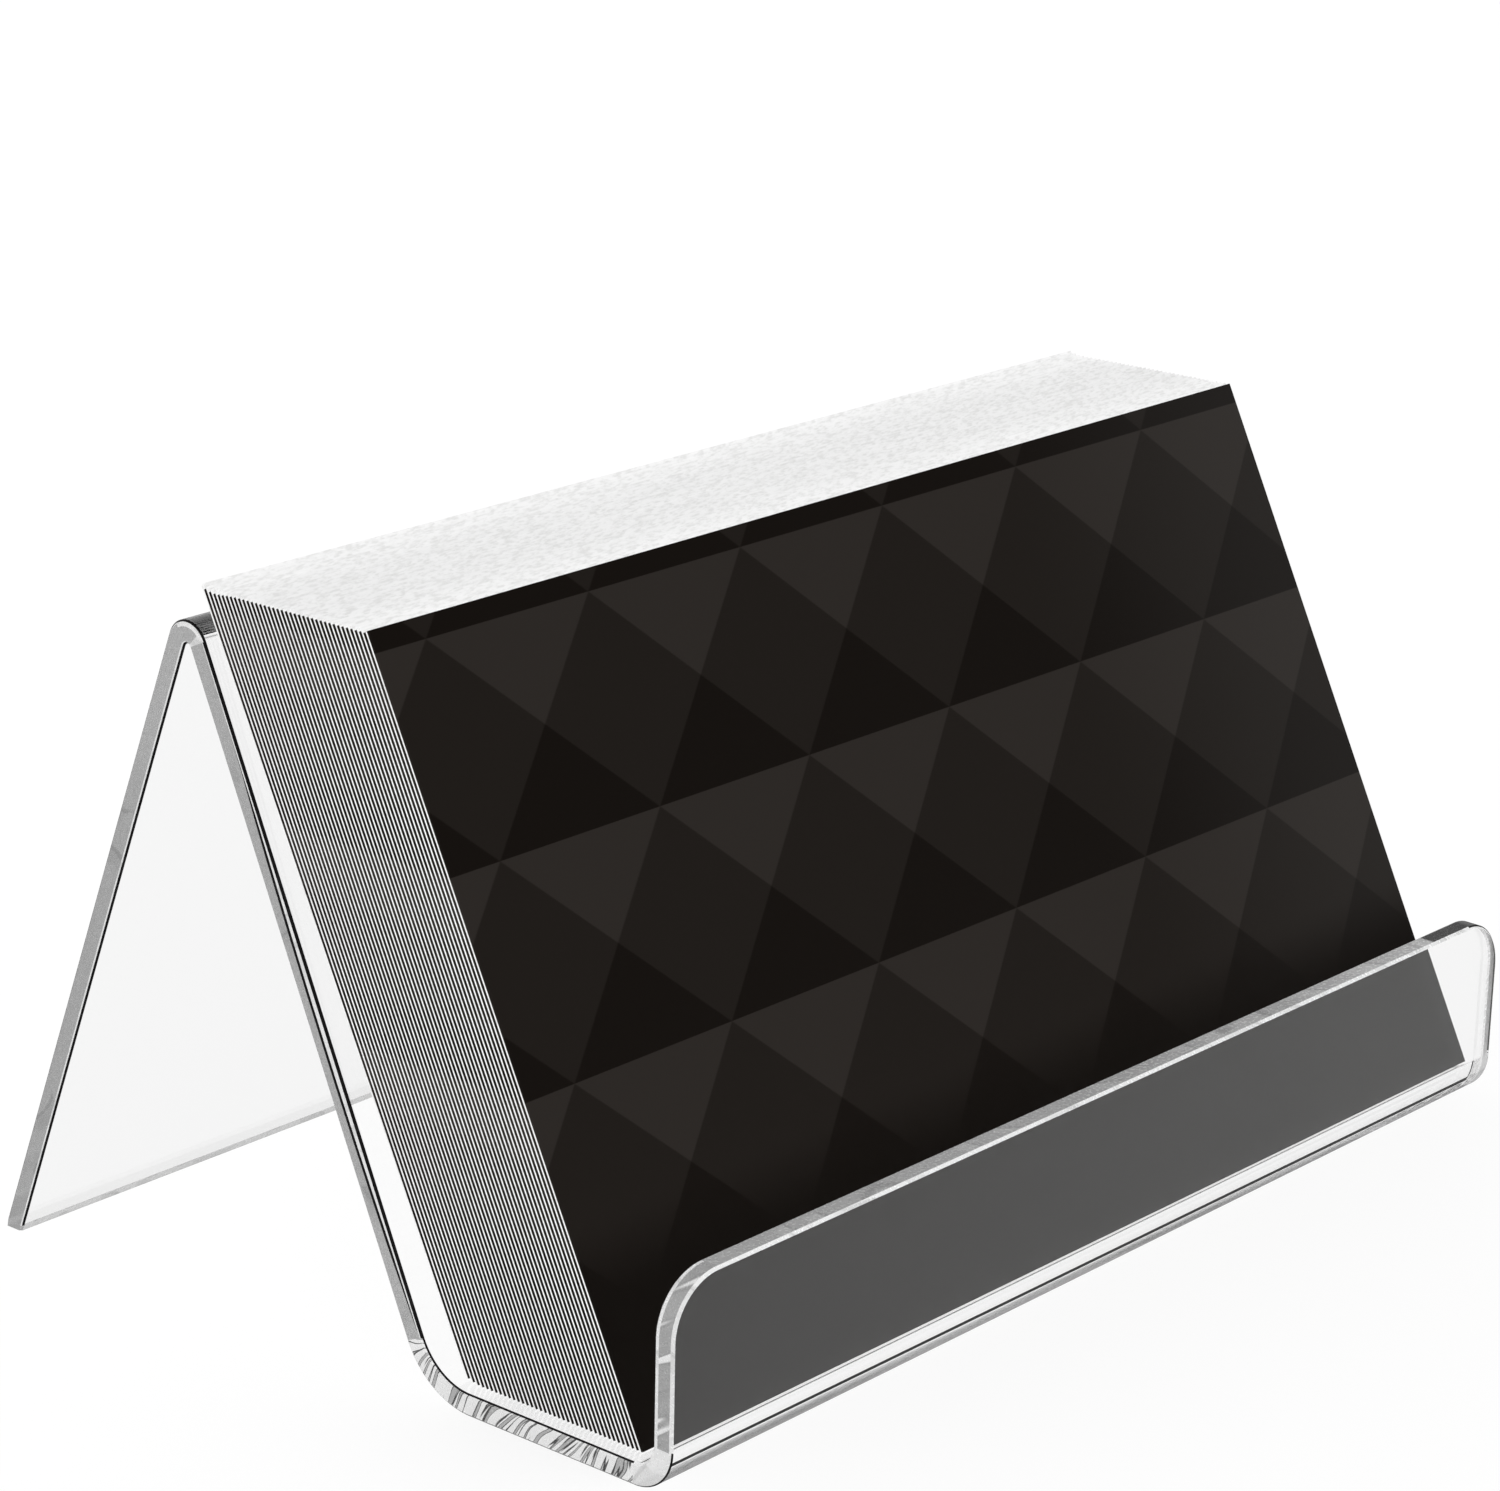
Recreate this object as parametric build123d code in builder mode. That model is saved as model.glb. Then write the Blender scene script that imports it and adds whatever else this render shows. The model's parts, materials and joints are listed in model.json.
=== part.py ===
from build123d import *
import math
import os

# Business card stand: one clear acrylic sheet with three bends, and the stack of cards on it.
# Millimetres. +X runs along the cards to the right, +Y to the rear, +Z up.
# The origin is on the floor, in the middle of the stand's width and of the pocket's depth.

# Acrylic sheet
sheet_thickness = 1.6
stand_width = 90.5
stand_height = 48.5
back_lean = 23.5
leg_lean = 22.8
apex_bend_radius = 0.3
heel_bend_radius = 4.5
lip_bend_radius = 1.7
lip_height = 14.6
lip_lean = 1.6
lip_corner_radius = 4.0
edge_round = 0.2

# Cards
card_width = 90.0
card_height = 54.0
card_thickness = 0.35
card_count = 39

# Room around the cards
card_spacing = 0.012
finger_gap = 1.9
heel_gap = 1.6
stack_shift = 1.0
seat_clearance = 0.03
rest_clearance = 0.05

os.makedirs("parts", exist_ok=True)


def tangent(angle):
    return math.tan(math.radians(angle))


def cosine(angle):
    return math.cos(math.radians(angle))


# The apex bend, placed behind the heel: the line where back plate and shelf would meet
apex_outer_radius = apex_bend_radius + sheet_thickness
apex_center_z = stand_height - apex_outer_radius
apex_rise = apex_center_z - sheet_thickness
apex_behind_heel = apex_rise * tangent(back_lean) + apex_outer_radius / cosine(back_lean)

# The heel bend starts at this distance in front of the heel and curves up from the shelf
heel_bend_run = heel_bend_radius * tangent((90 - back_lean) / 2)

# The rear card stands in front of the heel and leans back until it meets the apex bend
overlap_with_bend = max(heel_bend_run - heel_gap, 0)
bend_climb = heel_bend_radius - math.sqrt(heel_bend_radius**2 - overlap_with_bend**2)
rear_seat_z = sheet_thickness + bend_climb + seat_clearance
reach_y = apex_behind_heel + heel_gap
reach_z = apex_center_z - rear_seat_z
reach = math.hypot(reach_y, reach_z)
card_lean = math.degrees(
    math.atan2(reach_y, reach_z) - math.asin((apex_outer_radius + rest_clearance) / reach)
)

# Depth of the pocket along the shelf, and the lines that bound it
card_pitch = card_thickness + card_spacing
stack_depth = (card_count * card_pitch - card_spacing) / cosine(card_lean)
pocket_depth = finger_gap + stack_depth + heel_gap
lip_y = -pocket_depth / 2
heel_y = pocket_depth / 2
apex_center_y = heel_y + apex_behind_heel

# Corners of the sheet's upper face, before bending: lip top, lip foot, heel, apex, leg end
lip_top = (lip_y - (lip_height - sheet_thickness) * tangent(lip_lean), lip_height)
lip_foot = (lip_y, sheet_thickness)
heel = (heel_y, sheet_thickness)
leg_at_center_y = apex_center_y + apex_outer_radius / cosine(leg_lean)
lean_sum = tangent(back_lean) + tangent(leg_lean)
apex_rise_above_center = (
    leg_at_center_y - heel_y - apex_rise * tangent(back_lean)
) / lean_sum
apex_corner_z = apex_center_z + apex_rise_above_center
apex_corner = (leg_at_center_y - apex_rise_above_center * tangent(leg_lean), apex_corner_z)
leg_overrun = sheet_thickness
leg_end_drop = apex_center_z + leg_overrun
leg_end = (leg_at_center_y + leg_end_drop * tangent(leg_lean), -leg_overrun)

# Stand: the upper face's outline is thickened downwards, and the leg is cut level with the floor
with BuildPart() as acrylic_stand:
    with BuildSketch(Plane.YZ) as side_profile:
        with BuildLine():
            FilletPolyline(
                lip_top,
                lip_foot,
                heel,
                apex_corner,
                leg_end,
                radius=[lip_bend_radius, heel_bend_radius, apex_outer_radius],
            )
            offset(amount=sheet_thickness, side=Side.RIGHT, closed=True)
        make_face()
        with Locations((leg_end[0], 0)):
            Rectangle(
                4 * sheet_thickness,
                4 * sheet_thickness,
                align=(Align.CENTER, Align.MAX),
                mode=Mode.SUBTRACT,
            )
    extrude(amount=stand_width / 2, both=True)

    above_lip = (0, lip_top[0] - sheet_thickness / 2, lip_height + sheet_thickness)
    lip_rim = acrylic_stand.faces().sort_by_distance(above_lip)[0]
    lip_corners = lip_rim.edges().sort_by(SortBy.LENGTH)[:2]
    fillet(lip_corners, radius=lip_corner_radius)

    outline = acrylic_stand.edges().filter_by(Axis.X, reverse=True)
    cuts_across_sheet = outline.filter_by(GeomType.LINE).filter_by(
        lambda edge: edge.length < 1.5 * sheet_thickness
    )
    fillet(outline - cuts_across_sheet, radius=edge_round)

acrylic_stand.part.label = "acrylic_stand"
export_step(acrylic_stand.part, "parts/acrylic_stand.step")

# Directions of a leaning card, in the side view: up along the card, and back through the stack
up_y = math.sin(math.radians(card_lean))
up_z = math.cos(math.radians(card_lean))
heel_bend_center_y = heel_y - heel_bend_run
heel_bend_center_z = sheet_thickness + heel_bend_radius


def seated_edge(number):
    """Place of a card's rear bottom edge, on the shelf or on the heel bend."""
    steps_forward = (card_count - number) * card_pitch
    plane_y = heel_y - heel_gap - steps_forward * up_z
    plane_z = rear_seat_z + steps_forward * up_y
    slide = (sheet_thickness + seat_clearance - plane_z) / up_z
    edge_y = plane_y + slide * up_y
    if edge_y > heel_bend_center_y:
        from_center_y = plane_y - heel_bend_center_y
        from_center_z = plane_z - heel_bend_center_z
        along = from_center_y * up_y + from_center_z * up_z
        apart = from_center_y * up_z - from_center_z * up_y
        slide = -along - math.sqrt((heel_bend_radius - seat_clearance) ** 2 - apart**2)
    return plane_y + slide * up_y, plane_z + slide * up_z


# Cards: number 1 is the front one, and each stands on its rear bottom edge
for number in range(1, card_count + 1):
    edge_y, edge_z = seated_edge(number)
    card_plane = Plane(
        origin=(stack_shift, edge_y, edge_z),
        x_dir=(1, 0, 0),
        z_dir=(0, -up_z, up_y),
    )
    with BuildPart() as card:
        with BuildSketch(card_plane):
            Rectangle(card_width, card_height, align=(Align.CENTER, Align.MIN))
        extrude(amount=card_thickness)
    card_name = f"card_{number:02d}"
    card.part.label = card_name
    export_step(card.part, f"parts/{card_name}.step")
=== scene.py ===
import json
import math

import bpy
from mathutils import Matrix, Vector


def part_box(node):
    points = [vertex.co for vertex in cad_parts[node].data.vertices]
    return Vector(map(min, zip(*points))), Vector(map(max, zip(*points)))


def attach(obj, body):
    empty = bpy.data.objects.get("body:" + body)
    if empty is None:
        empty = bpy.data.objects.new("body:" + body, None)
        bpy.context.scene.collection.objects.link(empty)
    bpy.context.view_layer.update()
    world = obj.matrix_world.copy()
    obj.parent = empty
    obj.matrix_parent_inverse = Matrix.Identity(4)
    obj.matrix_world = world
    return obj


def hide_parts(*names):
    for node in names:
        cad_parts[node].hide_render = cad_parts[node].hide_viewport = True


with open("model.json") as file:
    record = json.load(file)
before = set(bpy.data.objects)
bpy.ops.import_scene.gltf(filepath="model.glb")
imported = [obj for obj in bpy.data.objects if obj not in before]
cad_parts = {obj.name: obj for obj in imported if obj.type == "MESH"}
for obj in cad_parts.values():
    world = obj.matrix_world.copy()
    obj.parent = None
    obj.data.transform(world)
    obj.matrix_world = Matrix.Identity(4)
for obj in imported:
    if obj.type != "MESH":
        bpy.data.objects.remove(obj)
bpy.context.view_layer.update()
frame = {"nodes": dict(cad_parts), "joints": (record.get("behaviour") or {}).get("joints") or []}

# Looks of a business card stand: a bent clear acrylic sheet and a stack of printed cards.
# Metres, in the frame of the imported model: +X right along the cards, +Y to the rear, +Z up.

MM = 0.001

# Acrylic sheet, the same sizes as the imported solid
STAND_WIDTH = 90.5 * MM
HALF_WIDTH = STAND_WIDTH / 2
STAND_HEIGHT = 48.5 * MM
SHEET_THICKNESS = 1.6 * MM
BACK_LEAN = math.radians(23.5)
LEG_LEAN = math.radians(22.8)
LIP_LEAN = math.radians(1.6)
LIP_HEIGHT = 14.6 * MM
LIP_CORNER_RADIUS = 4.0 * MM
LIP_BEND_RADIUS = 1.7 * MM
HEEL_BEND_RADIUS = 4.5 * MM
APEX_BEND_RADIUS = 0.3 * MM
POCKET_DEPTH = 19.0924 * MM

# Eased edges of the sheet
EDGE_CHAMFER = 0.18 * MM
EDGE_ROUND = 0.04 * MM
FOOT_EASE = 0.05 * MM

# Fineness of the sheet's mesh
CORNER_STEPS = 18
RIM_STEPS = 3
PLATE_STEPS = 16
BEND_STEP = math.radians(1)

# Rows of the mesh at which the parts of the sheet start, counted from the lip's rim
SHELF_ROW = CORNER_STEPS + 1 + math.ceil((math.pi / 2 - LIP_LEAN) / BEND_STEP)
PLATE_ROW = SHELF_ROW + 1 + math.ceil((math.pi / 2 - BACK_LEAN) / BEND_STEP)
APEX_ROW = PLATE_ROW + PLATE_STEPS
LEG_ROW = APEX_ROW + math.ceil((math.pi - BACK_LEAN - LEG_LEAN) / BEND_STEP)
FOOT_ROW = LEG_ROW + 1
APEX_MIDDLE = (APEX_ROW + LEG_ROW - 1) // 2

# Rows that take a finish of their own: painted shade at the lip's right corner and on the lip bend's
# underside where it meets the table, painted highlights along the apex
PAINTED_SHADE_CORNER_ROWS = 5
CONTACT_SHADE_ROWS = 14
HIGHLIGHT_APEX_ROWS = 21
HIGHLIGHT_LINE_ROWS = 30

# Strips of the cut edge, counted from the upper face: a chamfer, three flat strips, a chamfer
EASED_STRIPS = 2 * RIM_STEPS + 2
HALF_EASED = EASED_STRIPS // 2
OUTER_STRIP, MIDDLE_STRIP, INNER_STRIP = range(EASED_STRIPS, EASED_STRIPS + 3)
RIM_STRIPS = 2 * EASED_STRIPS + 3
RING_POINTS = 2 * (RIM_STRIPS + 1)

# Depths at which the flat strips meet, and the share of each chamfer beside the face
LIP_SPLITS = (0.42 * MM, 0.95 * MM)
SHELF_SPLITS = (0.42 * MM, 0.66 * MM)
APEX_SPLITS = (0.205 * MM, 0.42 * MM)
LIP_FACE_SHARE = 0.5
PLATE_FACE_SHARE = 0.85
LEG_FACE_SHARE = 0.65

# The dark line painted on the plate's end, a painted shade: it bows away from the upper face and tapers
# out below the apex
LINE_DEPTH = 0.24 * MM
LINE_BOW = 0.38 * MM
LINE_HALF_WIDTH = 0.13 * MM
LINE_LEAST_HALF = 0.005 * MM
LINE_TAPER = 2.5
LINE_END = 0.84

# Strip of the leg's faces along the foot, painted grey as shade where the foot meets the table, and the
# place from which the lip's rim is painted dark, a painted reflection of the black cards
FOOT_STRIP = 0.45 * MM
RIM_PAINTED_REFLECTION_FROM = 36.6 * MM
RIM_PAINTED_REFLECTION_BLEND = 0.3 * MM
RIM_PAINTED_REFLECTION_TONE = 0.012

# Finishes of the sheet, in the order of its material slots. Beside the clear faces, the cut edges carry
# painted light: painted shade, painted highlights and painted reflections.
(
    FACE,
    CLEAR_EDGE,
    PAINTED_SHADE_RIM,
    FROSTED_PAINTED_SHADE_EDGE,
    PAINTED_HIGHLIGHT_RIM,
    PAINTED_REFLECTION_EDGE,
    PAINTED_GLINT_EDGE,
    LIP_RIM,
    FOOT_PAINTED_SHADE,
) = range(9)

# Acrylic
ACRYLIC_IOR = 1.49
ACRYLIC_TONE = 0.98
ABSORPTION = 3.0
SMUDGE_SCALE = 60.0
SMUDGE_RANGE = (0.35, 0.75)
RIPPLE_DEPTH = 0.1 * MM
PLAIN_GLOSS = 0.5

# Cut edges: partly clear, with a fine grain
EDGE_CLEARNESS = 0.3
GRAIN_SCALE = 3500.0
GRAIN_RANGE = (0.3, 0.7)
GRAIN_TONES = (0.9, 1.1)
GRAIN_ROUGHNESS = (0.2, 0.3)
GRAIN_BUMP = 0.01
GRAIN_DEPTH = 0.02 * MM

# Slanted bars on the cut edges: painted reflections, each with a thin painted dark line
BAR_SLANT = (0.73, 0.68)
BAR_WOBBLE_SCALE = 150.0
BAR_WOBBLE = 2.5
BAR_COVER_SCALE = 300.0
BAR_COVER_LEVEL = 0.62
BAR_COVER_RANGE = 0.4
BAR_COVER_EDGE = 0.02
BAR_EDGE = 0.05
BAR_LINE_RANGE = (0.07, 0.02)
BAR_LINE_STRENGTH = 0.3
BAR_LINE_TONE = 0.3

# Painted reflections: streaks on the ends of the shelf and the lip, each with a thin dark outline
STREAK_SLOPE_SCALE = 250.0
STREAK_SLOPE_RANGE = (0.35, 0.65)
STREAK_ALONG = 150.0
STREAK_EDGE = 0.05
STREAK_LINE_RANGE = (0.045, 0.015)
STREAK_LINE_TONE = 0.02

# Cards
CARD_NODES = sorted(name for name in frame["nodes"] if name.startswith("card_"))
CARD_HEIGHT = 54.0 * MM
CARD_THICKNESS = 0.35 * MM
BLACK_LAYER = 0.62 * CARD_THICKNESS
CARD_UP = Vector(frame["joints"][0]["axis"]).normalized()
CARD_BACK = Vector((0, CARD_UP.z, -CARD_UP.y))

# Unprinted margin along the top of a card, which grows from the first card to the next and at the rear
FIRST_MARGIN = 0.005 * MM
NEXT_MARGIN = 0.19 * MM
REAR_MARGIN = 0.2 * MM
NEXT_MARGIN_START = 0.7 * CARD_THICKNESS
REAR_MARGIN_RUN = (11 * MM, 14 * MM)

# Card stock
PAPER_DIM = (0.86, 0.86, 0.86)
PAPER_LIGHT = (0.96, 0.96, 0.96)
PAPER_MOTTLE = (0.78, 0.78, 0.775)
MOTTLE_RANGE = (0.3, 0.6)
PAPER_STREAK_SCALES = (120.0, 9000.0, 9000.0)
PAPER_MOTTLE_SCALES = (1600.0, 4200.0, 4200.0)
FIBRE_SCALE = 2500.0
FIBRE_BUMP = 0.05
FIBRE_DEPTH = 0.02 * MM
# Painted light and shade on the paper: lighter at the front and rear of the stack, dimmer in the middle
FRONT_PAINTED_LIGHT = 1.01
MIDDLE_PAINTED_SHADE = 0.96
REAR_PAINTED_LIGHT = 0.05
FRONT_PAINTED_LIGHT_RUN = 5 * MM
REAR_PAINTED_LIGHT_RUN = (9 * MM, 14 * MM)
PAPER_ROUGHNESS = 0.85
PRINT_ROUGHNESS = 0.42
CARD_GLOSS = 0.06

# Print on the front of each card: square studs, lit from above, with painted shade darkening the print
# near its foot
STUD_PITCH = 14.77 * MM
STUD_LEFT = 4.29 * MM
STUD_TOP = 52.5 * MM
STUD_EDGE = 0.008
PRINT_LIGHT = (0.0224, 0.0184, 0.0157)
PRINT_MIDDLE = (0.0122, 0.0094, 0.0074)
PRINT_DARK = (0.0060, 0.0039, 0.0025)
# Painted shade: the print darkens towards the foot of each card, just above the lip
PRINT_PAINTED_SHADE = (0.0042, 0.0026, 0.0015)
PRINT_LIFT = 0.009
LIFT_START = 58.0 * MM
LIFT_END = 95.0 * MM
PAINTED_SHADE_START = 9.0 * MM
PAINTED_SHADE_END = 15.0 * MM

# Floor
FLOOR_HALF_SIZE = 4.0
FLOOR_HEIGHT = -0.05 * MM
FLOOR_TONE = 0.98
FLOOR_GLOW_SHARE = 0.75
FLOOR_MIRRORED = 0.31

# Light, and the room seen in reflections and through the sheet
WORLD_LIGHT = 1.08
HORIZON_RANGE = (0.06, 0.22)
ROOM_DEPTH_RANGE = (-0.1, 0.3)
ROOM_FRONT = 0.15
ROOM_REAR = 0.95
CEILING_RANGE = (0.5, 0.9)
CEILING_SHARE = 0.15
LIGHT_BOUNCES = 64

# Camera at the photograph's place
CAMERA_PLACE = (-237.956 * MM, -190.745 * MM, 132.816 * MM)
CAMERA_AZIMUTH = math.radians(-48.078)
CAMERA_ELEVATION = math.radians(17.646)
CAMERA_LENS = 113.108
SENSOR_WIDTH = 36.0
CLIP_START = 0.01


class Shader:
    """A node tree with short calls for the nodes used here."""

    def __init__(self, tree):
        self.tree = tree
        tree.nodes.clear()

    def put(self, value, socket):
        if isinstance(value, bpy.types.NodeSocket):
            self.tree.links.new(value, socket)
        else:
            socket.default_value = value

    def node(self, kind, inputs=None, **settings):
        made = self.tree.nodes.new(kind)
        for name, value in settings.items():
            setattr(made, name, value)
        for name, value in (inputs or {}).items():
            self.put(value, made.inputs[name])
        return made

    def math(self, operation, *values):
        return self.node("ShaderNodeMath", dict(enumerate(values)), operation=operation).outputs[0]

    def vector(self, operation, *values):
        made = self.node("ShaderNodeVectorMath", dict(enumerate(values)), operation=operation)
        return made.outputs["Value" if operation == "DOT_PRODUCT" else "Vector"]

    def ramp(self, value, low, high, first=0.0, last=1.0):
        """A smooth step from first to last as value goes from low to high."""
        made = self.node("ShaderNodeMapRange", interpolation_type="SMOOTHSTEP")
        for name, number in zip(
            ("Value", "From Min", "From Max", "To Min", "To Max"), (value, low, high, first, last)
        ):
            self.put(number, made.inputs[name])
        return made.outputs["Result"]

    def mix(self, share, first, second):
        """Colour that goes from first to second as share goes from 0 to 1."""
        made = self.node("ShaderNodeMix", data_type="RGBA")
        colours = [s for s in made.inputs if s.type == "RGBA"]
        self.put(share, made.inputs[0])
        for value, socket in zip((first, second), colours):
            self.put(value if isinstance(value, bpy.types.NodeSocket) else (*value, 1), socket)
        return next(s for s in made.outputs if s.type == "RGBA")

    def noise(self, place, scale, detail=3.0):
        return self.node(
            "ShaderNodeTexNoise", {"Vector": place, "Scale": scale, "Detail": detail}
        ).outputs["Fac"]

    def bump(self, height, strength, distance):
        return self.node(
            "ShaderNodeBump", {"Height": height, "Strength": strength, "Distance": distance}
        ).outputs["Normal"]

    def combine(self, x, y, z):
        return self.node("ShaderNodeCombineXYZ", {"X": x, "Y": y, "Z": z}).outputs[0]

    def separate(self, vector):
        return self.node("ShaderNodeSeparateXYZ", {"Vector": vector}).outputs

    def object_place(self):
        return self.node("ShaderNodeTexCoord").outputs["Object"]

    def blend(self, share, first, second):
        """Shader that goes from first to second as share goes from 0 to 1."""
        return self.node(
            "ShaderNodeMixShader", {0: share, 1: first.outputs[0], 2: second.outputs[0]}
        )

    def finish(self, surface, volume=None, kind="ShaderNodeOutputMaterial"):
        output = self.node(kind, {"Surface": surface.outputs[0]})
        if volume:
            self.put(volume.outputs[0], output.inputs["Volume"])


def grey(tone):
    return (tone, tone, tone)


def new_material(name):
    material = bpy.data.materials.new(name)
    material.use_nodes = True
    return material, Shader(material.node_tree)


def finish_acrylic(shader, surface):
    """Put a surface on the acrylic, over the faint absorption inside the sheet."""
    inside = shader.node(
        "ShaderNodeVolumeAbsorption", {"Color": (0.0, 0.0, 0.0, 1.0), "Density": ABSORPTION}
    )
    shader.finish(surface, inside)


def clear_acrylic(name, roughness, ripple, ripple_scale):
    """Polished acrylic with faint smudges and a faint ripple."""
    material, shader = new_material(name)
    place = shader.object_place()
    smudge = shader.noise(place, SMUDGE_SCALE)
    surface = shader.node(
        "ShaderNodeBsdfPrincipled",
        {
            "Base Color": (*grey(ACRYLIC_TONE), 1.0),
            "Transmission Weight": 1.0,
            "IOR": ACRYLIC_IOR,
            "Roughness": shader.ramp(smudge, *SMUDGE_RANGE, 0.0, roughness),
            "Normal": shader.bump(shader.noise(place, ripple_scale), ripple, RIPPLE_DEPTH),
        },
    )
    finish_acrylic(shader, surface)
    return material


def frost(shader, grain, colour, clearness, gloss):
    """Finish a cut edge: a little frosted, with a fine grain."""
    surface = shader.node(
        "ShaderNodeBsdfPrincipled",
        {
            "Base Color": colour,
            "Transmission Weight": clearness,
            "IOR": ACRYLIC_IOR,
            "Specular IOR Level": gloss,
            "Roughness": shader.ramp(grain, *GRAIN_RANGE, *GRAIN_ROUGHNESS),
            "Normal": shader.bump(grain, GRAIN_BUMP, GRAIN_DEPTH),
        },
    )
    finish_acrylic(shader, surface)


def slanted_bars(shader, place, spacing, share, cover):
    """Painted reflections on part of a cut edge: uneven slanted bars, and the thin dark line along one
    side of each bar.
    """
    x, y, z = shader.separate(place)
    per_run, per_height = BAR_SLANT
    slant = shader.math(
        "ADD",
        shader.math("MULTIPLY", shader.math("ADD", x, y), per_run),
        shader.math("MULTIPLY", z, per_height),
    )
    wobble = shader.math("MULTIPLY", shader.noise(place, BAR_WOBBLE_SCALE, 0.0), BAR_WOBBLE)
    turn = shader.math("FRACT", shader.math("ADD", shader.math("DIVIDE", slant, spacing), wobble))
    level = BAR_COVER_LEVEL - BAR_COVER_RANGE * cover
    shown = shader.ramp(shader.noise(place, BAR_COVER_SCALE, 0.0), level, level + BAR_COVER_EDGE)
    bar = shader.ramp(turn, share, share - BAR_EDGE)
    off = shader.math("ABSOLUTE", shader.math("SUBTRACT", turn, share))
    line = shader.ramp(off, *BAR_LINE_RANGE)
    return shader.math("MULTIPLY", bar, shown), shader.math("MULTIPLY", line, shown)


def cut_acrylic(
    name,
    tone,
    reflection_tone,
    spacing,
    share,
    cover,
    clearness=EDGE_CLEARNESS,
    gloss=PLAIN_GLOSS,
    painted_reflection_from=None,
):
    """Cut acrylic with painted reflections as bars of another tone, and painted dark to the right of a
    place if one is given.
    """
    material, shader = new_material(name)
    place = shader.object_place()
    grain = shader.noise(place, GRAIN_SCALE)
    bar, line = slanted_bars(shader, place, spacing, share, cover)
    colour = shader.mix(grain, *(grey(part * tone) for part in GRAIN_TONES))
    colour = shader.mix(bar, colour, grey(reflection_tone))
    line = shader.math("MULTIPLY", line, BAR_LINE_STRENGTH)
    colour = shader.mix(line, colour, grey(BAR_LINE_TONE * min(tone, reflection_tone)))
    if painted_reflection_from is not None:
        x = shader.separate(place)["X"]
        painted_reflection = shader.ramp(x, painted_reflection_from, painted_reflection_from + RIM_PAINTED_REFLECTION_BLEND)
        colour = shader.mix(painted_reflection, colour, grey(RIM_PAINTED_REFLECTION_TONE))
    frost(shader, grain, colour, clearness, gloss)
    return material


def streaked_acrylic(name, tone, streak_tone, level, outline, per_y, per_z):
    """Cut acrylic with painted reflections as uneven slanted streaks, each with a thin dark outline."""
    material, shader = new_material(name)
    place = shader.object_place()
    y, z = shader.separate(place)[1:]
    slope = shader.ramp(
        shader.noise(place, STREAK_SLOPE_SCALE, 0.0), *STREAK_SLOPE_RANGE, *per_z
    )
    across = shader.math(
        "ADD", shader.math("MULTIPLY", y, per_y), shader.math("MULTIPLY", z, slope)
    )
    along = shader.math("MULTIPLY", z, STREAK_ALONG)
    streak = shader.noise(shader.combine(across, along, 0.0), 1.0, 1.0)
    off = shader.math("ABSOLUTE", shader.math("SUBTRACT", streak, level))
    shown = shader.ramp(streak, level, level + STREAK_EDGE)
    colour = shader.mix(shown, grey(tone), grey(streak_tone))
    line = shader.ramp(off, *STREAK_LINE_RANGE, 0.0, outline)
    colour = shader.mix(line, colour, grey(STREAK_LINE_TONE))
    frost(shader, shader.noise(place, GRAIN_SCALE), colour, EDGE_CLEARNESS, PLAIN_GLOSS)
    return material


def sheet_materials():
    """Materials of the sheet, in the order of its finishes."""
    return (
        clear_acrylic("acrylic_polished", roughness=0.02, ripple=0.02, ripple_scale=90.0),
        clear_acrylic("acrylic_clear_edge", roughness=0.3, ripple=0.05, ripple_scale=400.0),
        # Painted shade: black cut edges, and the dark strips where the sheet meets the table
        cut_acrylic(
            "acrylic_painted_shade_rim", tone=0.006, reflection_tone=0.012, spacing=4 * MM, share=0.3, cover=0.2,
            clearness=0.0, gloss=0.1,
        ),
        # Frosted cut edge, greyed by painted shade
        cut_acrylic(
            "acrylic_frosted_painted_shade_edge", tone=0.46, reflection_tone=0.42, spacing=5 * MM, share=0.4, cover=0.1
        ),
        # Painted highlights: white cut edges
        cut_acrylic(
            "acrylic_painted_highlight_rim", tone=0.95, reflection_tone=0.85, spacing=3 * MM, share=0.4, cover=0.3
        ),
        # Painted reflections: pale shelf ends with dark slanted streaks
        streaked_acrylic(
            "acrylic_painted_reflection_edge", tone=0.97, streak_tone=0.5, level=0.55, outline=0.95,
            per_y=2200.0, per_z=(900.0, 2300.0),
        ),
        # Painted glints: white streaks on the lip's left end, over a grey of painted shade
        streaked_acrylic(
            "acrylic_painted_glint_edge", tone=0.42, streak_tone=0.97, level=0.6, outline=0.12,
            per_y=500.0, per_z=(800.0, 800.0),
        ),
        # Frosted grey rim, greyed by painted shade, and painted dark to the right as a painted reflection
        # of the black cards
        cut_acrylic(
            "acrylic_lip_rim", tone=0.44, reflection_tone=0.5, spacing=6 * MM, share=0.5, cover=0.4,
            gloss=0.02, painted_reflection_from=RIM_PAINTED_REFLECTION_FROM,
        ),
        # Painted shade: a grey band where the foot meets the table
        cut_acrylic(
            "acrylic_foot_painted_shade", tone=0.68, reflection_tone=0.6, spacing=4 * MM, share=0.4, cover=0.2
        ),
    )


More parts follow.
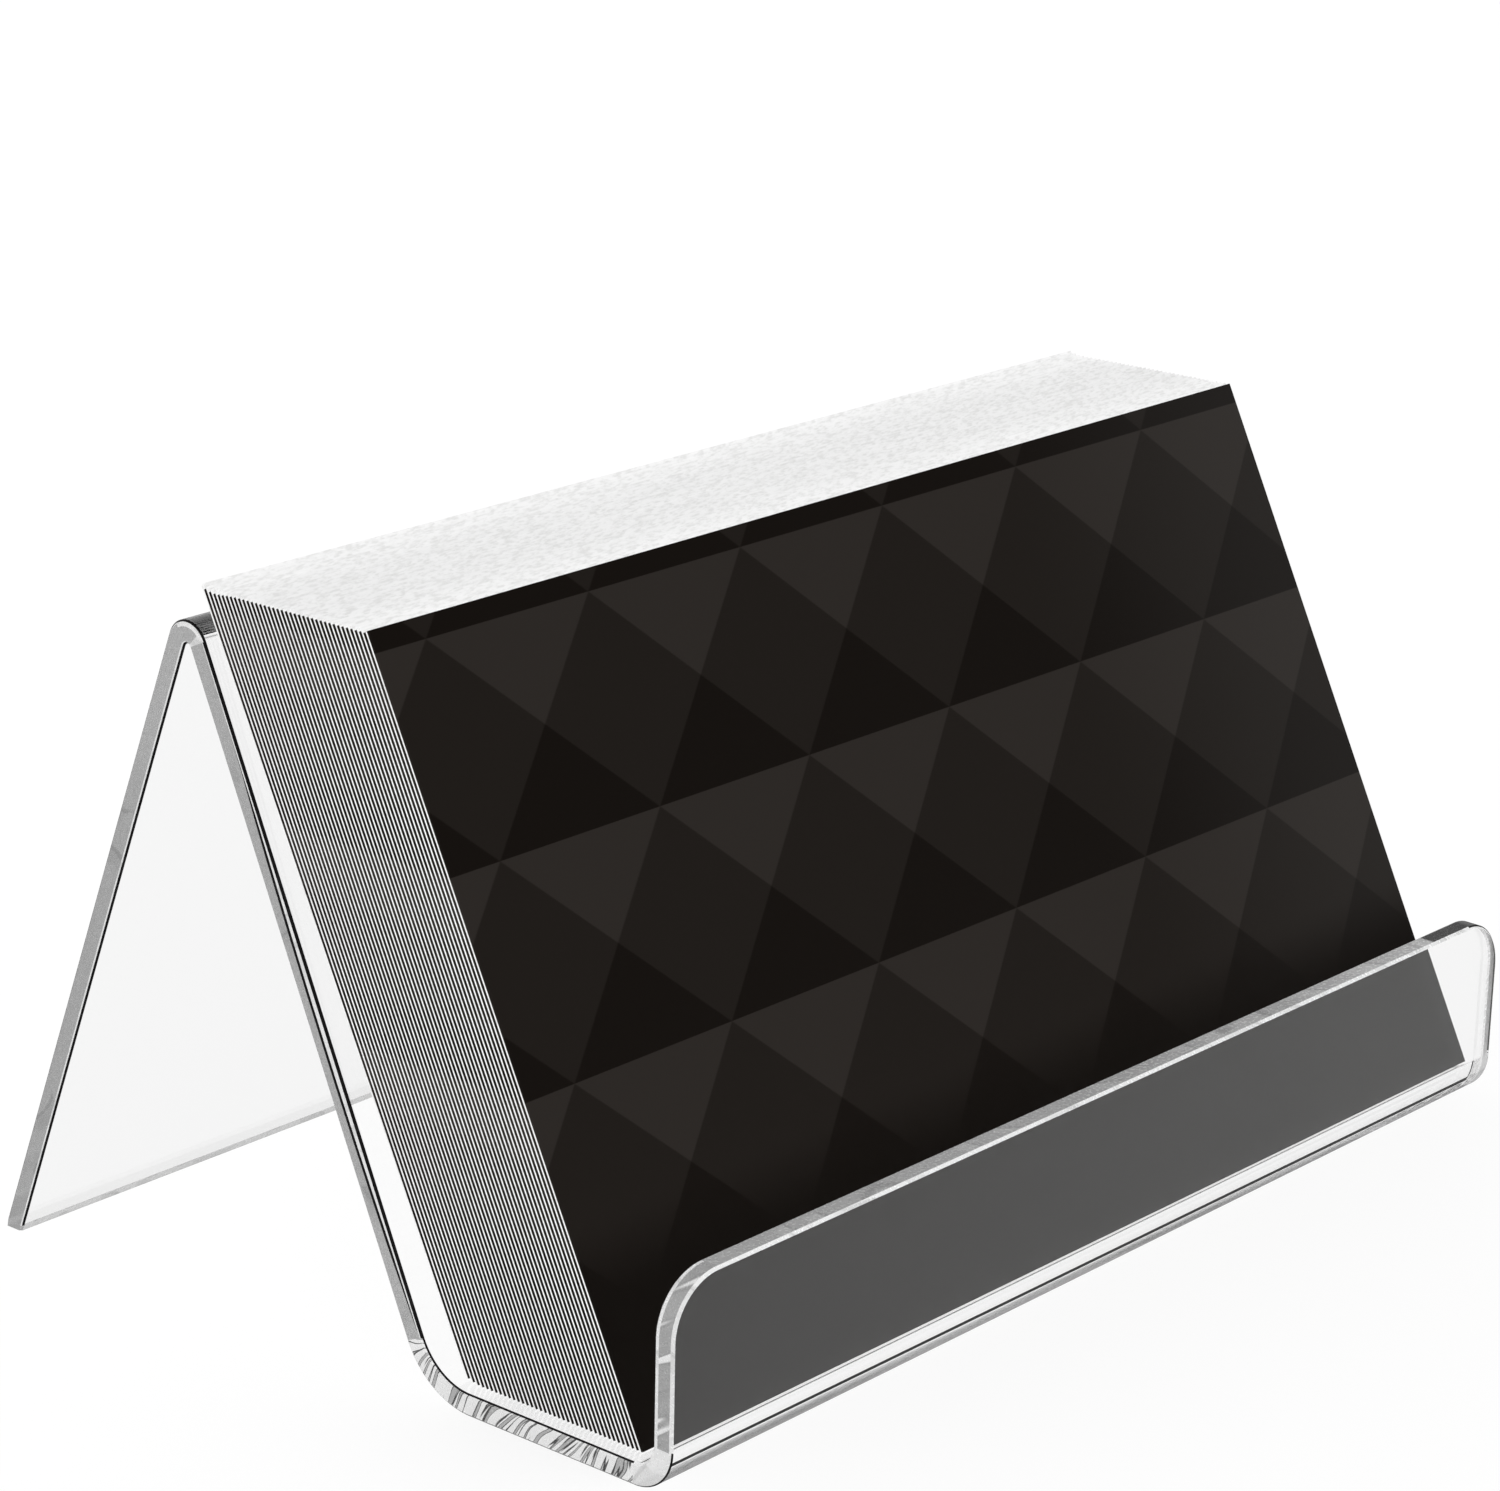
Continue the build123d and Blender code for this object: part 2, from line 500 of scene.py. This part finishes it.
def stud_print(shader, across, up):
    """Colour of the printed studs, from the distance across and up a card's front, with painted shade
    darkening the print near its foot.
    """
    cell_x = shader.math("DIVIDE", shader.math("SUBTRACT", across, STUD_LEFT), STUD_PITCH)
    cell_y = shader.math("DIVIDE", shader.math("SUBTRACT", up, STUD_TOP), STUD_PITCH)
    side = shader.math("ABSOLUTE", shader.math("SUBTRACT", shader.math("FRACT", cell_x), 0.5))
    rise = shader.math("SUBTRACT", shader.math("FRACT", cell_y), 0.5)
    above = shader.ramp(shader.math("SUBTRACT", rise, side), -STUD_EDGE, STUD_EDGE)
    below = shader.ramp(shader.math("ADD", rise, side), STUD_EDGE, -STUD_EDGE)
    tone = shader.mix(below, shader.mix(above, PRINT_MIDDLE, PRINT_LIGHT), PRINT_DARK)
    # Painted shade near the foot of the print, just above the lip
    shown = shader.ramp(up, PAINTED_SHADE_START, PAINTED_SHADE_END)
    tone = shader.mix(shown, PRINT_PAINTED_SHADE, tone)
    lift = shader.ramp(across, LIFT_START, LIFT_END, 0.0, PRINT_LIFT)
    lift = shader.math("MULTIPLY", lift, shown)
    return shader.vector("ADD", tone, shader.combine(lift, lift, lift))


def card_place(shader, generated):
    """Distances across, up and back into a card, from its generated coordinates."""
    low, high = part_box(CARD_NODES[0])
    place = shader.vector("MULTIPLY", generated, tuple(high - low))
    up = shader.vector("DOT_PRODUCT", place, tuple(CARD_UP))
    up = shader.math("SUBTRACT", up, CARD_THICKNESS * CARD_UP.z * CARD_UP.y)
    back = shader.vector("DOT_PRODUCT", place, tuple(CARD_BACK))
    back = shader.math("ADD", back, CARD_THICKNESS * CARD_UP.y**2)
    return shader.separate(place)["X"], up, back


def black_share(shader, up, back, row_depth, first):
    """1 on the black layer of a card, 0 on its white layer and its unprinted margin."""
    next_run = (first + NEXT_MARGIN_START, first + CARD_THICKNESS)
    rear_run = (first + run for run in REAR_MARGIN_RUN)
    margin = shader.math(
        "ADD",
        shader.ramp(row_depth, *next_run, FIRST_MARGIN, NEXT_MARGIN),
        shader.ramp(row_depth, *rear_run, 0.0, REAR_MARGIN),
    )
    printed = shader.math("LESS_THAN", back, BLACK_LAYER)
    below_top = shader.math("LESS_THAN", shader.math("ADD", up, margin), CARD_HEIGHT)
    return shader.math("MULTIPLY", printed, below_top)


def paper_colour(shader, in_row, row_depth, first):
    """White card with fine streaks and a mottle, with painted light: a little dimmer in the middle of the
    stack than at its front and rear.
    """
    streaks = shader.noise(shader.vector("MULTIPLY", in_row, PAPER_STREAK_SCALES), 1.0, 2.0)
    mottle = shader.noise(shader.vector("MULTIPLY", in_row, PAPER_MOTTLE_SCALES), 1.0, 4.0)
    paper = shader.mix(streaks, PAPER_DIM, PAPER_LIGHT)
    paper = shader.mix(shader.ramp(mottle, *MOTTLE_RANGE), PAPER_MOTTLE, paper)
    rear_run = (first + run for run in REAR_PAINTED_LIGHT_RUN)
    painted_light = shader.math(
        "ADD",
        shader.ramp(row_depth, first, first + FRONT_PAINTED_LIGHT_RUN, FRONT_PAINTED_LIGHT, MIDDLE_PAINTED_SHADE),
        shader.ramp(row_depth, *rear_run, 0.0, REAR_PAINTED_LIGHT),
    )
    return shader.vector("MULTIPLY", paper, shader.combine(painted_light, painted_light, painted_light))


def card_material(name):
    """White card with a black front: printed studs in front, a black layer and a white one at the ends."""
    first = min(CARD_BACK.dot(vertex.co) for vertex in frame["nodes"][CARD_NODES[0]].data.vertices)
    material, shader = new_material(name)
    coordinates = shader.node("ShaderNodeTexCoord").outputs
    in_row = coordinates["Object"]
    row_depth = shader.vector("DOT_PRODUCT", in_row, tuple(CARD_BACK))
    across, up, back = card_place(shader, coordinates["Generated"])
    black = black_share(shader, up, back, row_depth, first)
    paper = paper_colour(shader, in_row, row_depth, first)
    fibres = shader.noise(in_row, FIBRE_SCALE, 4.0)
    surface = shader.node(
        "ShaderNodeBsdfPrincipled",
        {
            "Base Color": shader.mix(black, paper, stud_print(shader, across, up)),
            "Roughness": shader.ramp(black, 0.0, 1.0, PAPER_ROUGHNESS, PRINT_ROUGHNESS),
            "Specular IOR Level": CARD_GLOSS,
            "Normal": shader.bump(fibres, FIBRE_BUMP, FIBRE_DEPTH),
        },
    )
    shader.finish(surface)
    return material


def sheet_corners():
    """Corners of the sheet's upper face in the side view, before bending: (y, z) from lip to foot."""
    lip_y = -POCKET_DEPTH / 2
    heel_y = POCKET_DEPTH / 2
    outer = APEX_BEND_RADIUS + SHEET_THICKNESS
    center_z = STAND_HEIGHT - outer
    rise = center_z - SHEET_THICKNESS
    plate_y = heel_y + rise * math.tan(BACK_LEAN)
    center_y = plate_y + outer / math.cos(BACK_LEAN)
    leg_y = center_y + outer / math.cos(LEG_LEAN)
    above = (leg_y - plate_y) / (math.tan(BACK_LEAN) + math.tan(LEG_LEAN))
    return [
        (lip_y - (LIP_HEIGHT - SHEET_THICKNESS) * math.tan(LIP_LEAN), LIP_HEIGHT),
        (lip_y, SHEET_THICKNESS),
        (heel_y, SHEET_THICKNESS),
        (leg_y - above * math.tan(LEG_LEAN), center_z + above),
        (leg_y + center_z * math.tan(LEG_LEAN), 0.0),
    ]


def run_angle(start, end):
    return math.atan2(end[1] - start[1], end[0] - start[0])


def bend_stations(before, corner, after, radius):
    """(y, z, angle) round one bend of the upper face."""
    angle_in = run_angle(before, corner)
    turn = run_angle(corner, after) - angle_in
    run = radius * math.tan(abs(turn) / 2)
    side = math.copysign(radius, turn)
    center_y = corner[0] - run * math.cos(angle_in) - side * math.sin(angle_in)
    center_z = corner[1] - run * math.sin(angle_in) + side * math.cos(angle_in)
    steps = math.ceil(abs(turn) / BEND_STEP)
    angles = [angle_in + turn * step / steps for step in range(steps + 1)]
    return [(center_y + side * math.sin(a), center_z - side * math.cos(a), a) for a in angles]


def between(first, last, share):
    return tuple(a + share * (b - a) for a, b in zip(first, last))


def sheet_stations():
    """(y, z, angle) along the upper face, from the lip's rim to the foot."""
    corners = sheet_corners()
    radii = (LIP_BEND_RADIUS, HEEL_BEND_RADIUS, APEX_BEND_RADIUS + SHEET_THICKNESS)
    lip_bend, heel_bend, apex_bend = map(bend_stations, corners, corners[1:], corners[2:], radii)
    lip = (*corners[0], run_angle(corners[0], corners[1]))
    plate = [
        between(heel_bend[-1], apex_bend[0], step / PLATE_STEPS) for step in range(1, PLATE_STEPS)
    ]
    foot = (*corners[-1], run_angle(corners[-2], corners[-1]))
    return [lip, *lip_bend, *heel_bend, *plate, *apex_bend, foot]


def edge_splits(row):
    """Depths at which the flat strips of the cut edge meet in one row of the mesh."""
    if row <= CORNER_STEPS + 1:
        return LIP_SPLITS
    if row < PLATE_ROW:
        return SHELF_SPLITS
    if row > APEX_ROW:
        return APEX_SPLITS
    share = (row - PLATE_ROW) / PLATE_STEPS
    bow = math.sin(math.pi * min(share / LINE_END, 1.0))
    middle = LINE_DEPTH + LINE_BOW * bow
    half = max(LINE_HALF_WIDTH * min(LINE_TAPER * bow, 1.0), LINE_LEAST_HALF)
    return middle - half, middle + half


def face_share(row):
    """Share of a chamfer's flat that belongs to its half beside the face, in one row of the mesh."""
    if row > APEX_ROW:
        return LEG_FACE_SHARE
    return PLATE_FACE_SHARE if row >= PLATE_ROW else LIP_FACE_SHARE


def rim_profile(row):
    """(inset, depth, outward share, downward share) round the cut edge, from upper to lower face."""
    eased = EDGE_CHAMFER + EDGE_ROUND * math.tan(math.pi / 8)
    rounds = ((eased, EDGE_ROUND, 0.0), (EDGE_ROUND, eased, math.pi / 4))
    upper = []
    for center_inset, center_depth, start in rounds:
        for step in range(RIM_STEPS + 1):
            turn = start + math.pi / 4 * step / RIM_STEPS
            out, down = math.sin(turn), -math.cos(turn)
            upper.append((center_inset - EDGE_ROUND * out, center_depth + EDGE_ROUND * down, out, down))
    share = face_share(row)
    split = (eased * (1 - share), eased * share, math.sqrt(0.5), -math.sqrt(0.5))
    upper.insert(RIM_STEPS + 1, split)
    flat = [(0.0, depth, 1.0, 0.0) for depth in edge_splits(row)]
    lower = [
        (inset, SHEET_THICKNESS - depth, out, -down) for inset, depth, out, down in reversed(upper)
    ]
    return upper + flat + lower


def on_sheet(vector, angle, y=0.0, z=0.0):
    """A vector given as (across, along the sheet, down through it), from (y, z) in the side view."""
    across, along, down = vector
    return Vector(
        (
            across,
            y + along * math.cos(angle) + down * math.sin(angle),
            z + along * math.sin(angle) - down * math.cos(angle),
        )
    )


def ring(left):
    """A ring of (place, normal): the left rim downwards, then its mirror image upwards."""
    right = [(Vector((-p.x, p.y, p.z)), Vector((-n.x, n.y, n.z))) for p, n in reversed(left)]
    return left + right


def lip_ring(station, turn):
    """A ring through both round corners of the lip, turned from the rim towards the ends."""
    y, z, angle = station
    left = []
    for inset, depth, out, down in rim_profile(0):
        radius = LIP_CORNER_RADIUS - inset
        x = -HALF_WIDTH + LIP_CORNER_RADIUS - radius * math.sin(turn)
        along = LIP_CORNER_RADIUS - radius * math.cos(turn)
        outward = (-out * math.sin(turn), -out * math.cos(turn), down)
        left.append((on_sheet((x, along, depth), angle, y, z), on_sheet(outward, angle)))
    return ring(left)


def bend_ring(row, station):
    """A ring square to the sheet."""
    y, z, angle = station
    left = []
    for inset, depth, out, down in rim_profile(row):
        place = on_sheet((-HALF_WIDTH + inset, 0.0, depth), angle, y, z)
        left.append((place, on_sheet((-out, 0.0, down), angle)))
    return ring(left)


def foot_ring(station, rise, ease):
    """A level ring at some height above the table, drawn in by ease."""
    y, z, angle = station
    left = []
    for inset, depth, out, down in rim_profile(LEG_ROW):
        kept = ease + depth * (1 - 2 * ease / SHEET_THICKNESS)
        along = (rise + kept * math.cos(angle)) / math.sin(angle)
        place = on_sheet((-HALF_WIDTH + inset + ease, along, kept), angle, y, z)
        left.append((place, on_sheet((-out, 0.0, down), angle)))
    return ring(left)


def sheet_rings():
    """Rings of (place, normal) round the sheet's cross-section, from the lip's rim to the foot."""
    lip, *bends, foot = sheet_stations()
    turns = [math.pi / 2 * step / CORNER_STEPS for step in range(CORNER_STEPS + 1)]
    rings = [lip_ring(lip, turn) for turn in turns]
    rings += [bend_ring(row, station) for row, station in enumerate(bends, CORNER_STEPS + 1)]
    return rings + [foot_ring(foot, FOOT_STRIP, 0.0), foot_ring(foot, 0.0, FOOT_EASE)]


# The cut-edge finishes chosen below paint light: painted shade, painted highlights and painted reflections
def upper_chamfer_finish(row, near_rim):
    if row < SHELF_ROW:
        return PAINTED_HIGHLIGHT_RIM
    if row >= LEG_ROW:
        return CLEAR_EDGE
    if not near_rim:
        return PAINTED_SHADE_RIM
    return PAINTED_REFLECTION_EDGE if row < PLATE_ROW else PAINTED_HIGHLIGHT_RIM


def lower_chamfer_finish(row, near_rim, right):
    if row <= CORNER_STEPS:
        return PAINTED_SHADE_RIM if right and (near_rim or row == CORNER_STEPS) else PAINTED_HIGHLIGHT_RIM
    if SHELF_ROW <= row <= APEX_MIDDLE:
        return CLEAR_EDGE
    return PAINTED_HIGHLIGHT_RIM if near_rim else PAINTED_SHADE_RIM


def flat_finish(row, strip, right):
    if row <= CORNER_STEPS:
        if right:
            return FACE if strip == INNER_STRIP else PAINTED_HIGHLIGHT_RIM
        return PAINTED_HIGHLIGHT_RIM if strip == OUTER_STRIP else PAINTED_GLINT_EDGE
    if row < SHELF_ROW:
        return PAINTED_HIGHLIGHT_RIM
    if row < PLATE_ROW:
        return PAINTED_REFLECTION_EDGE
    if row < APEX_ROW:
        return {OUTER_STRIP: PAINTED_HIGHLIGHT_RIM, MIDDLE_STRIP: PAINTED_SHADE_RIM, INNER_STRIP: FROSTED_PAINTED_SHADE_EDGE}[strip]
    # Painted highlights along the apex's edge
    highlight_line = strip == MIDDLE_STRIP and row < min(APEX_MIDDLE + HIGHLIGHT_LINE_ROWS, LEG_ROW)
    return PAINTED_HIGHLIGHT_RIM if highlight_line or row < APEX_ROW + HIGHLIGHT_APEX_ROWS else FROSTED_PAINTED_SHADE_EDGE


def rim_finish(row, strip, right):
    """Finish of one strip of the cut edge, counted from the upper face, in one row of the mesh."""
    if row == FOOT_ROW:
        return FROSTED_PAINTED_SHADE_EDGE
    # Painted shade on the lip's right corner
    if right and row < PAINTED_SHADE_CORNER_ROWS and strip <= INNER_STRIP:
        return PAINTED_SHADE_RIM
    if strip < OUTER_STRIP:
        return upper_chamfer_finish(row, strip >= HALF_EASED)
    if strip > INNER_STRIP:
        return lower_chamfer_finish(row, strip <= INNER_STRIP + HALF_EASED, right)
    return flat_finish(row, strip, right)


def face_finish(row, upper):
    """Finish of the sheet's upper or lower face in one row of the mesh."""
    if row == FOOT_ROW:
        return FOOT_PAINTED_SHADE
    if upper and row == SHELF_ROW:
        return CLEAR_EDGE
    # Painted shade along the lip bend's underside where it meets the table
    if not upper and SHELF_ROW - CONTACT_SHADE_ROWS <= row < SHELF_ROW:
        return PAINTED_SHADE_RIM
    return FACE


def row_finish(row, k):
    """Finish of the face after point k of a ring, in one row of the mesh."""
    if k in (RIM_STRIPS, RING_POINTS - 1):
        return face_finish(row, k > RIM_STRIPS)
    return rim_finish(row, min(k, RING_POINTS - 2 - k), k > RIM_STRIPS)


def sheet_faces():
    """Corners and finishes of the sheet's faces: the lip's rim, the rows, then the foot."""
    faces = []
    # The lip's rim: grey with painted shade and reflection, and painted highlights on its chamfers
    for k in range(RIM_STRIPS):
        corners = (k, k + 1, RING_POINTS - 2 - k, RING_POINTS - 1 - k)
        faces.append((corners, LIP_RIM if OUTER_STRIP <= k <= INNER_STRIP else PAINTED_HIGHLIGHT_RIM))
    for row in range(FOOT_ROW + 1):
        first = row * RING_POINTS
        second = first + RING_POINTS
        for k in range(RING_POINTS):
            after = (k + 1) % RING_POINTS
            corners = (first + k, second + k, second + after, first + after)
            faces.append((corners, row_finish(row, k)))
    last = (FOOT_ROW + 1) * RING_POINTS
    end = last + RING_POINTS - 1
    # Painted shade on the level foot where it stands on the table
    for k in range(RIM_STRIPS):
        faces.append(((last + k, end - k, end - 1 - k, last + k + 1), PAINTED_SHADE_RIM))
    return zip(*faces)


def sheet_mesh():
    """The bent sheet as one closed mesh with exact normals, sharp only round the level foot."""
    points, normals = zip(*(vertex for row in sheet_rings() for vertex in row))
    faces, finishes = sheet_faces()
    foot_start = len(faces) - RIM_STRIPS - RING_POINTS
    mesh = bpy.data.meshes.new("acrylic_sheet")
    mesh.from_pydata(points, [], faces)
    mesh.polygons.foreach_set("use_smooth", [True] * len(faces))
    mesh.polygons.foreach_set("material_index", finishes)
    loop_normals = [
        mesh.polygons[number].normal if number >= foot_start else normals[vertex]
        for number, corners in enumerate(faces)
        for vertex in corners
    ]
    mesh.normals_split_custom_set(loop_normals)
    mesh.validate()
    return mesh


def acrylic_sheet():
    """The stand's sheet, in place of its solid. It casts no shadow, so the floor under it stays white."""
    mesh = sheet_mesh()
    sheet = bpy.data.objects.new("acrylic_sheet", mesh)
    bpy.context.scene.collection.objects.link(sheet)
    for material in sheet_materials():
        mesh.materials.append(material)
    sheet.visible_shadow = False
    sheet.visible_diffuse = False
    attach(sheet, "stand")
    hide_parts("acrylic_stand")


def dress_cards():
    material = card_material("printed_card_stock")
    for name in CARD_NODES:
        for slot in frame["nodes"][name].material_slots:
            slot.material = material


def floor_material(name):
    """White, with three quarters of its light its own. A mirror shows only that glow, dimmed."""
    material, shader = new_material(name)
    path = shader.node("ShaderNodeLightPath").outputs
    mirrored = shader.math("SUBTRACT", path["Is Glossy Ray"], path["Is Transmission Ray"])
    strength = shader.ramp(mirrored, 0.0, 1.0, 1.0, FLOOR_MIRRORED)
    lit = shader.node("ShaderNodeBsdfDiffuse", {"Color": (*grey(FLOOR_TONE), 1.0)})
    glow = shader.node("ShaderNodeEmission", {"Strength": strength})
    share = shader.math("MAXIMUM", path["Is Glossy Ray"], FLOOR_GLOW_SHARE)
    shader.finish(shader.blend(share, lit, glow))
    return material


def studio_floor():
    """A white floor that keeps a soft shadow of the object."""
    size, z = FLOOR_HALF_SIZE, FLOOR_HEIGHT
    mesh = bpy.data.meshes.new("floor")
    mesh.from_pydata(
        [(-size, -size, z), (size, -size, z), (size, size, z), (-size, size, z)], [], [(0, 1, 2, 3)]
    )
    mesh.materials.append(floor_material("floor_white"))
    floor = bpy.data.objects.new("floor", mesh)
    bpy.context.scene.collection.objects.link(floor)


def studio_room(shader):
    """Strength of the room: white at the horizon, dark in front, pale behind, and a dark ceiling."""
    _, y, z = shader.separate(shader.node("ShaderNodeTexCoord").outputs["Generated"])
    horizon = shader.ramp(z, *HORIZON_RANGE, 1.0, 0.0)
    depth = shader.ramp(y, *ROOM_DEPTH_RANGE, ROOM_FRONT, ROOM_REAR)
    wall = shader.math("MULTIPLY", depth, shader.ramp(z, *CEILING_RANGE, 1.0, CEILING_SHARE))
    return shader.math("MAXIMUM", horizon, wall)


def studio_world():
    """Even white light, a white background, and a room in reflections and through the sheet."""
    world = bpy.data.worlds.new("studio")
    bpy.context.scene.world = world
    world.use_nodes = True
    shader = Shader(world.node_tree)
    path = shader.node("ShaderNodeLightPath").outputs
    mirrored = shader.math("MAXIMUM", path["Is Glossy Ray"], path["Is Transmission Ray"])
    light, reflected, seen = (
        shader.node("ShaderNodeBackground", {"Color": (1, 1, 1, 1), "Strength": strength})
        for strength in (WORLD_LIGHT, studio_room(shader), 1.0)
    )
    around = shader.blend(mirrored, light, reflected)
    shader.finish(shader.blend(path["Is Camera Ray"], around, seen), kind="ShaderNodeOutputWorld")


def camera():
    data = bpy.data.cameras.new("camera")
    data.sensor_fit = "HORIZONTAL"
    data.sensor_width = SENSOR_WIDTH
    data.lens = CAMERA_LENS
    data.clip_start = CLIP_START
    made = bpy.data.objects.new("camera", data)
    made.location = CAMERA_PLACE
    made.rotation_euler = (math.pi / 2 - CAMERA_ELEVATION, 0.0, CAMERA_AZIMUTH)
    bpy.context.scene.collection.objects.link(made)
    bpy.context.scene.camera = made


acrylic_sheet()
dress_cards()
studio_floor()
studio_world()
camera()
bpy.context.scene.view_settings.view_transform = "Standard"
bpy.context.scene.cycles.max_bounces = LIGHT_BOUNCES
bpy.context.scene.cycles.transmission_bounces = LIGHT_BOUNCES
bpy.context.scene.cycles.glossy_bounces = LIGHT_BOUNCES
